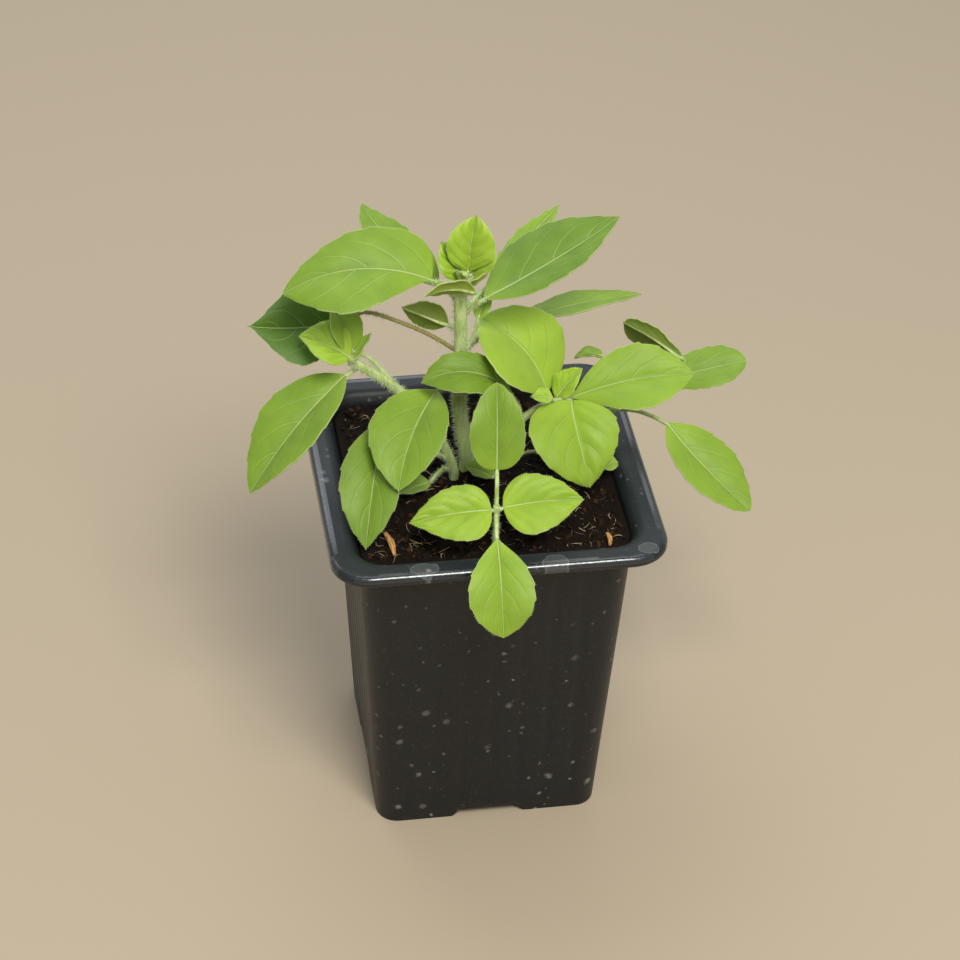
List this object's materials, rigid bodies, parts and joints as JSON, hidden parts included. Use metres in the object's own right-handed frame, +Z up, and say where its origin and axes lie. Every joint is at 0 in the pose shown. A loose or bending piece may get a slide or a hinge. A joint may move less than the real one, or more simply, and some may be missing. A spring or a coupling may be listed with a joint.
{
  "type": "potted holy basil",
  "caption": "Young holy basil plant in a square black nursery pot, with hairy stems, rounded bright green leaves and dark peaty soil.",
  "frame": {"origin": "middle of the underside of the pot, on the surface that it stands on", "axes": "+Z up, -Y the pot's front wall, +X to its right"},
  "size_m": [0.1409, 0.104, 0.1755],
  "materials": {
    "charcoal_plastic": "fine moulded satin, dusty, with dried water marks on the flange",
    "peaty_soil": "moist crumbly peat with pale fibres",
    "basil_green": "soft satin with sunken veins, pale margins and white hairs",
    "bark": "split, dry and fibrous"
  },
  "bodies": {
    "root": {"pot": "charcoal_plastic", "soil": "peaty_soil", "main_shoot": "basil_green", "left_shoot": "basil_green", "right_shoot": "basil_green", "side_shoot": "basil_green", "front_shoot": "basil_green", "bark_sliver_left": "bark", "bark_sliver_right": "bark"}
  },
  "joints": []
}
